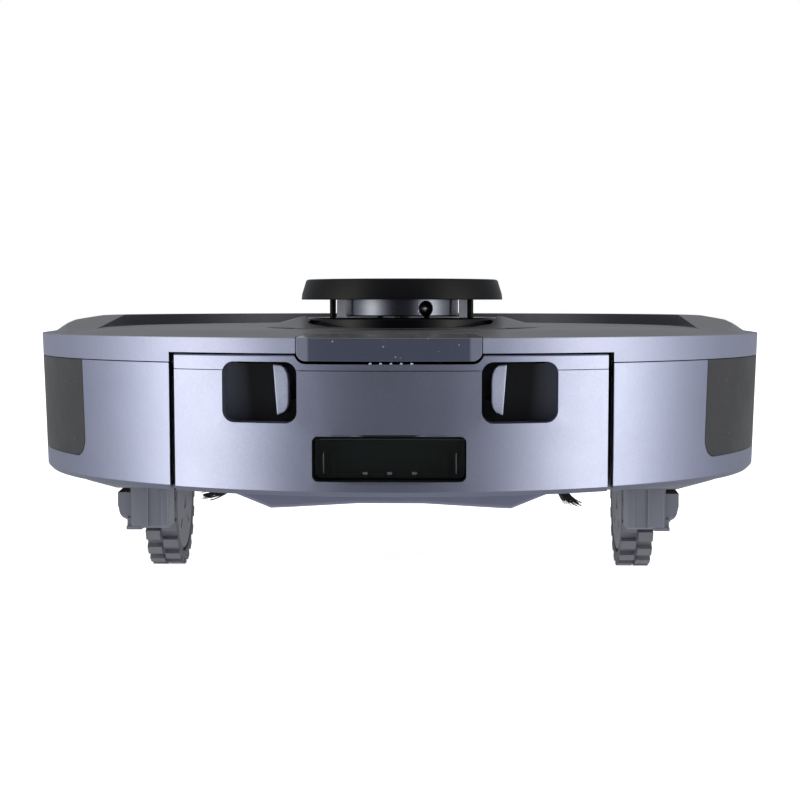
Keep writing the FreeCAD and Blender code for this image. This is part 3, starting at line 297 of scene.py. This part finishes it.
def tyre_extra(g, colour, rough, shader):
    """Worn lug tops and dust in the tread."""
    _, y, z = g.xyz()
    dy = g.math("SUBTRACT", y, AXLE_Y)
    dz = g.math("SUBTRACT", z, AXLE_Z)
    r = g.math("SQRT", g.math("ADD", g.math("MULTIPLY", dy, dy), g.math("MULTIPLY", dz, dz)))
    worn = g.span(r, 0.0325, 0.0331)
    colour = g.mix(g.math("MULTIPLY", worn, 0.6), colour, rgb(0.15, 0.153, 0.165))
    dust = g.span(g.noise(70.0, 5.0, 0.7), 0.52, 0.75, 0.0, 0.45)
    return g.mix(dust, colour, rgb(0.17, 0.172, 0.185)), rough


def drum_extra(g, colour, rough, shader):
    """Fine turning lines round the drum."""
    lines = g.node("ShaderNodeTexNoise", {"Scale": 1.0, "Detail": 2.0})
    squeezed = g.node("ShaderNodeMapping", {"Vector": g.coords(), "Scale": (8.0, 8.0, 2200.0)}).outputs[0]
    g.put(lines, "Vector", squeezed)
    return colour, g.math("ADD", rough, g.span(lines.outputs["Fac"], 0.3, 0.7, -0.02, 0.03))


MATS = {
    "shell": material("shell_paint", PAINT, 0.34, PAINT_METAL, 0.03, flake=0.18, grain=2600.0,
                      grain_bump=0.035,
                      extra=shell_extra, rough_vary=0.025, coat=0.12),
    "cover": material("cover_paint", PAINT, 0.37, PAINT_METAL, 0.03, flake=0.16, grain=2600.0,
                      grain_bump=0.04,
                      extra=cover_extra, rough_vary=0.03, coat=0.08),
    # the lid takes the same painted-light grey as the top faces
    "lid": material("lid_paint", TOP_LIT_GREY, 0.42, 0.3, 0.04, flake=0.25, grain=2600.0, grain_bump=0.04, coat=0.1),
    "window": material("window_plastic", (0.030, 0.030, 0.032), 0.38, 0.0, 0.10, extra=window_extra,
                       specular=0.35),
    "bar": material("smoked_plastic", (0.045, 0.052, 0.082), 0.16, 0.0, 0.06, extra=bar_extra, coat=0.6,
                    grain_bump=0.01),
    "black": material("black_satin", (0.006, 0.0062, 0.0078), 0.33, 0.0, 0.2, grain=1500.0, grain_bump=0.05,
                      specular=0.13),
    "drum": material("black_turned", (0.17, 0.178, 0.215), 0.22, 0.92, 0.08, extra=drum_extra, coat=0.2,
                     grain_bump=0.02),
    "gloss": material("black_gloss", (0.003, 0.003, 0.004), 0.10, 0.0, 0.2, coat=0.05, grain_bump=0.015,
                      specular=0.14),
    "flap": material("flap_gloss", (0.007, 0.010, 0.009), 0.10, 0.0, 0.2, coat=1.0, grain_bump=0.02),
    # the body paint made lighter and less metallic so the levers read brightly lit, painted light
    "lever": material("lever_paint_lightened", (0.50, 0.53, 0.68), 0.36, 0.25, 0.04, flake=0.3, grain=2600.0,
                      grain_bump=0.03),
    "module": material("module_plastic", (0.205, 0.215, 0.265), 0.36, 0.25, 0.07, grain=1300.0,
                       grain_bump=0.08,
                       specular=0.6),
    "tyre": material("tyre_rubber", (0.118, 0.123, 0.145), 0.60, 0.0, 0.10, grain=700.0, grain_bump=0.25,
                     extra=tyre_extra, specular=0.35),
    "hub": material("hub_plastic", (0.175, 0.182, 0.215), 0.42, 0.0, 0.08, grain=900.0, grain_bump=0.12),
    "chassis": material("chassis_plastic", (0.055, 0.055, 0.060), 0.55, 0.0, 0.12, grain=1100.0,
                        grain_bump=0.22),
    "under": material("under_plastic", (0.17, 0.172, 0.20), 0.42, 0.2, 0.07, grain=1100.0, grain_bump=0.12),
    "keel": material("keel_plastic", (0.27, 0.29, 0.40), 0.34, 0.6, 0.05, grain=1500.0, grain_bump=0.06),
    "steel": material("bright_steel", (0.55, 0.55, 0.56), 0.28, 1.0, 0.10, grain=500.0, grain_bump=0.08),
    "rubber": material("soft_rubber", (0.030, 0.030, 0.032), 0.62, 0.0, 0.12, grain=600.0, grain_bump=0.2),
    "roller": material("roller_rubber", (0.30, 0.045, 0.022), 0.55, 0.0, 0.12, grain=500.0, grain_bump=0.15),
    "bristle": material("bristle_nylon", (0.018, 0.018, 0.019), 0.40, 0.0, 0.25, grain=400.0,
                        grain_bump=0.05),
    "bin": material("bin_plastic", (0.070, 0.072, 0.080), 0.20, 0.0, 0.08, coat=0.4),
    # near-white frosted ribs at the turret, a painted highlight for the lit sides of its posts
    "guide": material("frosted_guide", (0.90, 0.91, 0.98), 0.45, 0.0, 0.03, extra=guide_extra),
    "filter": material("filter_paper", (0.62, 0.61, 0.58), 0.85, 0.0, 0.06, grain=800.0, grain_bump=0.3),
    "wrap": material("cell_wrap", (0.05, 0.06, 0.11), 0.32, 0.0, 0.08, coat=0.3),
    "board": material("board_laminate", (0.015, 0.085, 0.035), 0.38, 0.0, 0.15, grain=300.0, grain_bump=0.2),
    "lens": material("dark_lens", (0.012, 0.006, 0.014), 0.06, 0.0, 0.1, coat=1.0, grain_bump=0.0),
    "contact": material("plated_contact", (0.78, 0.66, 0.42), 0.24, 1.0, 0.06, grain=400.0, grain_bump=0.08),
}

NODE_LOOK = {
    "shell": ["side_shell_left", "side_shell_right", "bumper_shell", "tank_body", "tank_cover"],
    "cover": ["top_cover"],
    "lid": ["top_lid"],
    "window": ["side_windows"],
    "bar": ["rear_sensor_window"],
    "black": ["turret_cap", "turret_posts", "power_button"],
    "drum": ["lidar_drum"],
    "gloss": ["turret_base", "bumper_window"],
    "flap": ["evac_flap"],
    "lever": ["release_lever_left", "release_lever_right"],
    "module": ["arm_housing_left", "arm_housing_right", "gear_cover_left", "gear_cover_right", "lidar_motor",
               "caster_fork", "brush_motor", "side_brush_motors", "fan_unit", "bumper_switches",
               "side_brush_hub_left", "side_brush_hub_right"],
    "tyre": ["tyre_left", "tyre_right", "caster_wheel"],
    "hub": ["wheel_hub_left", "wheel_hub_right", "main_brush_core"],
    "under": ["chassis_base", "wheel_wells"],
    "keel": ["mop_mount"],
    "chassis": ["battery_cover", "suction_housing", "caster_socket", "brush_guard"],
    "steel": ["base_screws", "lid_hinge_pins", "suspension_springs", "wheel_motor_left", "wheel_motor_right"],
    "rubber": ["filler_plug"],
    "roller": ["main_brush_blades"],
    "bristle": ["side_brush_bristles_left", "side_brush_bristles_right"],
    "bin": ["dust_bin"],
    "filter": ["dust_filter"],
    "wrap": ["battery_pack"],
    "board": ["main_board"],
    "lens": ["lidar_lens", "cliff_sensors"],
    "contact": ["charge_contacts"],
}

# width in millimetres of the softened edges of each node
EDGE = {
    "tank_body": 0.7, "tank_cover": 1.0, "side_shell_left": 0.6, "side_shell_right": 0.6, "bumper_shell": 0.6,
    "top_cover": 0.35, "top_lid": 0.3, "rear_sensor_window": 1.0, "side_windows": 0.25, "bumper_window": 0.25,
    "turret_base": 0.3, "turret_cap": 0.4, "lidar_drum": 0.25, "release_lever_left": 0.6,
    "release_lever_right": 0.6, "evac_flap": 0.4, "arm_housing_left": 0.6, "arm_housing_right": 0.6,
    "gear_cover_left": 0.7, "gear_cover_right": 0.7, "tyre_left": 0.35, "tyre_right": 0.35,
    "wheel_hub_left": 0.3, "wheel_hub_right": 0.3, "mop_mount": 1.2, "chassis_base": 0.4, "brush_guard": 0.4,
    "side_brush_hub_left": 0.4, "side_brush_hub_right": 0.4, "battery_cover": 0.4, "caster_fork": 0.3,
    "dust_bin": 0.5, "charge_contacts": 0.2, "power_button": 0.2,
}


def soften(obj, width):
    """Weld, round the sharp edges and even out the shading."""
    weld = obj.modifiers.new("weld", "WELD")
    weld.merge_threshold = 0.000004
    bevel = obj.modifiers.new("bevel", "BEVEL")
    bevel.width = width * MM
    bevel.segments = 3
    bevel.limit_method = "ANGLE"
    bevel.angle_limit = math.radians(32)
    bevel.use_clamp_overlap = True
    weighted = obj.modifiers.new("weighted", "WEIGHTED_NORMAL")
    weighted.mode = "FACE_AREA"
    weighted.weight = 80
    weighted.keep_sharp = True


def dress_nodes():
    for look, names in NODE_LOOK.items():
        for name in names:
            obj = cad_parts[name]
            for slot in obj.material_slots:
                slot.material = MATS[look]
            if name in EDGE:
                soften(obj, EDGE[name])


def link(name, mesh, look, body):
    obj = bpy.data.objects.new(name, mesh)
    bpy.context.scene.collection.objects.link(obj)
    mesh.materials.append(MATS[look])
    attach(obj, body)
    return obj


def tube(bm, points, radii, sides):
    """Closed tube through points, with its own radius at each."""
    rings = []
    for i, point in enumerate(points):
        ahead = points[min(i + 1, len(points) - 1)] - points[max(i - 1, 0)]
        turn = ahead.to_track_quat("Z", "Y")
        ring = []
        for k in range(sides):
            a = 2 * math.pi * k / sides
            offset = Vector((radii[i] * math.cos(a), radii[i] * math.sin(a), 0))
            ring.append(bm.verts.new(point + turn @ offset))
        rings.append(ring)
    for low, high in zip(rings, rings[1:]):
        for k in range(sides):
            bm.faces.new((low[k], low[(k + 1) % sides], high[(k + 1) % sides], high[k]))
    bm.faces.new(list(reversed(rings[0])))
    bm.faces.new(rings[-1])


def side_bristles(side, sign):
    """Nylon tufts: each bristle leaves the arm flat, fans out and droops."""
    rng = random.Random(11 if sign > 0 else 23)
    bm = bmesh.new()
    hub_x, hub_y = sign * SIDE_BRUSH_X, SIDE_BRUSH_Y
    for arm in SIDE_ARMS[sign]:
        turn = math.radians(arm if sign > 0 else 180.0 - arm)
        for i in range(BRISTLES):
            fan = (i / (BRISTLES - 1) - 0.5) * 2
            heading = turn + math.radians(4.2 * fan + rng.uniform(-1.0, 1.0))
            start = turn + math.radians(3.4 * fan)
            length = BRISTLE_LEN + rng.uniform(-0.0045, 0.002) - 0.003 * abs(fan)
            root_z = BRISTLE_Z + rng.uniform(-0.0011, 0.0011)
            drop = (0.0106 if sign > 0 else 0.0082) + rng.uniform(-0.0012, 0.0012)
            points, radii = [], []
            for k in range(9):
                t = k / 8
                reach = BRISTLE_ROOT + (length - BRISTLE_ROOT) * t
                angle = start + (heading - start) * t
                z = root_z - drop * (1 - (1 - t) ** 1.8)
                x, y = hub_x + reach * math.cos(angle), hub_y + reach * math.sin(angle)
                points.append(Vector((x, y, z)))
                radii.append(BRISTLE_R * (1 - 0.35 * t))
            tube(bm, points, radii, 5)
    obj = finish("side_bristles_" + side, bm, "bristle", "side_brush_" + side, sharp=False)
    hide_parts("side_brush_bristles_" + side)


def block(bm, low, high, bevel):
    """Box with softened edges."""
    size = [h - l for l, h in zip(low, high)]
    centre = [(h + l) / 2 for l, h in zip(low, high)]
    place = Matrix.Translation(centre) @ Matrix.Diagonal((*size, 1.0))
    made = bmesh.ops.create_cube(bm, size=1.0, matrix=place)
    edges = {edge for vert in made["verts"] for edge in vert.link_edges}
    bmesh.ops.bevel(bm, geom=list(edges), offset=bevel, segments=3, affect="EDGES", profile=0.6)


def finish(name, bm, look, body, sharp=True):
    """Turn the mesh into a smooth-shaded piece that rides on a body."""
    mesh = bpy.data.meshes.new(name)
    bm.to_mesh(mesh)
    bm.free()
    for face in mesh.polygons:
        face.use_smooth = True
    if sharp:
        mesh.set_sharp_from_angle(angle=math.radians(35))
    return link(name, mesh, look, body)


def bar_contacts():
    """Five spring fingers in the slot under the smoked bar, in the lightened lever paint: painted light for
    their glints.
    """
    bm = bmesh.new()
    for i in range(5):
        x = -0.0080 + 0.0042 * i
        block(bm, (x, -0.1752, 0.1068), (x + 0.0010, -0.1718, 0.1080), 0.0002)
    finish("bar_contacts", bm, "lever", "tank")


def gear_details(side, sign):
    """Ribs, a foot and the moulded step on the back of a gear housing."""
    bm = bmesh.new()

    def span(x0, x1):
        return sorted((sign * x0, sign * x1))

    for x0, x1, z1, out in ((0.1090, 0.1125, 0.0456, 0.0006), (0.1185, 0.1262, 0.0454, 0.0012)):
        a, b = span(x0, x1)
        block(bm, (a, GEAR_FACE_Y - out, 0.0262), (b, GEAR_FACE_Y + 0.003, z1), 0.0005)
    a, b = span(0.1215, 0.1290)
    block(bm, (a, GEAR_FACE_Y - 0.0004, 0.0244), (b, GEAR_FACE_Y + 0.012, 0.0262), 0.0004)
    a, b = span(0.1262, 0.1288)
    block(bm, (a, GEAR_FACE_Y + 0.001, 0.0250), (b, GEAR_FACE_Y + 0.013, 0.0300), 0.0004)
    finish("gear_details_" + side, bm, "module", "arm_" + side)


def port_highlight_strips():
    """Two pale strips and three pale pips on the glossy emptying flap: painted highlights on the rib outlines
    and glints on the rib tops.
    """
    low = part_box("evac_flap")[0]
    face, foot = low[1] + 0.0022, low[2]
    bm = bmesh.new()
    for sign in (-1, 1):
        a, b = sorted((sign * 0.0272, sign * 0.0277))
        block(bm, (a, face - 0.0006, foot + 0.0020), (b, face + 0.0010, foot + 0.0105), 0.00015)
    for x in (-0.0102, 0.0, 0.0102):
        block(bm, (x - MM, face - 0.0014, foot + 0.0016), (x + MM, face - 0.0004, foot + 0.0027), 0.0003)
    finish("port_highlight_strips", bm, "module", "flap")


def turret_highlight_ribs():
    """Pale frosted ribs between the drum and the front posts, a painted highlight where the lit sides of the
    posts show.
    """
    base_low, base_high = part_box("turret_base")
    cap_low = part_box("turret_cap")[0]
    centre_x = (base_low[0] + base_high[0]) / 2
    centre_y = (base_low[1] + base_high[1]) / 2
    bm = bmesh.new()
    for sign in (-1, 1):
        a, b = sorted((sign * 0.0260, sign * 0.0304))
        block(bm, (centre_x + a, centre_y + 0.0105, base_high[2] - 0.0003),
              (centre_x + b, centre_y + 0.0117, cap_low[2] + 0.0034), 0.0003)
    finish("turret_highlight_ribs", bm, "guide", "chassis")


def make_floor():
    """Pale disc, built as rings, that glows a little and is not seen in reflections."""
    bm = bmesh.new()
    rings = []
    for radius in (0.0, 0.5, 1.5, 4.0, 9.0):
        ring = []
        for k in range(64):
            a = 2 * math.pi * k / 64
            ring.append(bm.verts.new((radius * math.cos(a), radius * math.sin(a), cad_low.z - FLOOR_DROP)))
            if radius == 0.0:
                break
        rings.append(ring)
    for k in range(64):
        bm.faces.new((rings[0][0], rings[1][k], rings[1][(k + 1) % 64]))
    for low, high in zip(rings[1:], rings[2:]):
        for k in range(64):
            bm.faces.new((low[k], high[k], high[(k + 1) % 64], low[(k + 1) % 64]))
    mesh = bpy.data.meshes.new("floor")
    bm.to_mesh(mesh)
    bm.free()
    floor = bpy.data.objects.new("floor", mesh)
    bpy.context.scene.collection.objects.link(floor)
    mat = bpy.data.materials.new("floor_white")
    mat.use_nodes = True
    g = Graph(mat.node_tree)
    shader = mat.node_tree.nodes["Principled BSDF"]
    g.put(shader, "Base Color", g.mix(g.noise(6.0), rgb(0.86, 0.86, 0.865), rgb(0.90, 0.90, 0.90)))
    shader.inputs["Roughness"].default_value = 0.9
    shader.inputs["Specular IOR Level"].default_value = 0.1
    shader.inputs["Emission Color"].default_value = (1, 1, 1, 1)
    shader.inputs["Emission Strength"].default_value = FLOOR_GLOW
    mesh.materials.append(mat)
    floor.visible_glossy = False


def area_light(name, place, target, size, power):
    data = bpy.data.lights.new(name, "AREA")
    data.shape = "RECTANGLE"
    data.size, data.size_y = size
    data.energy = power
    obj = bpy.data.objects.new(name, data)
    bpy.context.scene.collection.objects.link(obj)
    obj.location = place
    obj.rotation_euler = (Vector(target) - Vector(place)).to_track_quat("-Z", "Y").to_euler()


def make_light():
    """Soft boxes either side of the camera as a ring of brightness, white behind, one lamp above."""
    world = bpy.data.worlds.new("studio")
    bpy.context.scene.world = world
    world.use_nodes = True
    g = Graph(world.node_tree)
    back = world.node_tree.nodes["Background"]
    split = g.node("ShaderNodeSeparateXYZ", {0: g.node("ShaderNodeTexCoord").outputs["Generated"]})
    x, y, z = [split.outputs[i] for i in range(3)]
    flat = g.math("SQRT", g.math("ADD", g.math("MULTIPLY", x, x), g.math("MULTIPLY", y, y)))
    ahead = g.math("DIVIDE", y, g.math("MAXIMUM", flat, 0.001))
    ramp = g.node("ShaderNodeValToRGB", {0: g.span(ahead, -1.0, 1.0)})
    ramp.color_ramp.interpolation = "B_SPLINE"
    points = ramp.color_ramp.elements
    for i, (place, level) in enumerate(STUDIO):
        point = points[i] if i < 2 else points.new(place)
        point.position = place
        share = level / STUDIO_TOP
        point.color = rgb(*[share * (cool + (warm - cool) * share) for cool, warm in zip(COOL, WARM)])
    # the boxes fade upwards into a dim ceiling and downwards into the table
    ring = g.mix(g.span(z, 0.35, 0.85), ramp.outputs[0], rgb(*[CEILING / STUDIO_TOP] * 3))
    ring = g.mix(g.span(z, -0.15, -0.6), ring, rgb(*[TABLE / STUDIO_TOP] * 3))
    see = g.node("ShaderNodeLightPath").outputs["Is Camera Ray"]
    g.put(back, "Color", g.mix(see, ring, rgb(1.0, 1.0, 1.0)))
    g.put(back, "Strength", g.span(see, 0.0, 1.0, STUDIO_TOP, 1.0))
    area_light("top", (0.0, 0.2, 1.7), (0, 0, 0.1), (1.6, 1.2), TOP_LIGHT)


make_camera()
dress_nodes()
side_bristles("right", 1)
side_bristles("left", -1)
bar_contacts()
port_highlight_strips()
turret_highlight_ribs()
gear_details("right", 1)
gear_details("left", -1)
make_floor()
make_light()

scene = bpy.context.scene
scene.view_settings.view_transform = "Standard"
scene.view_settings.look = "None"
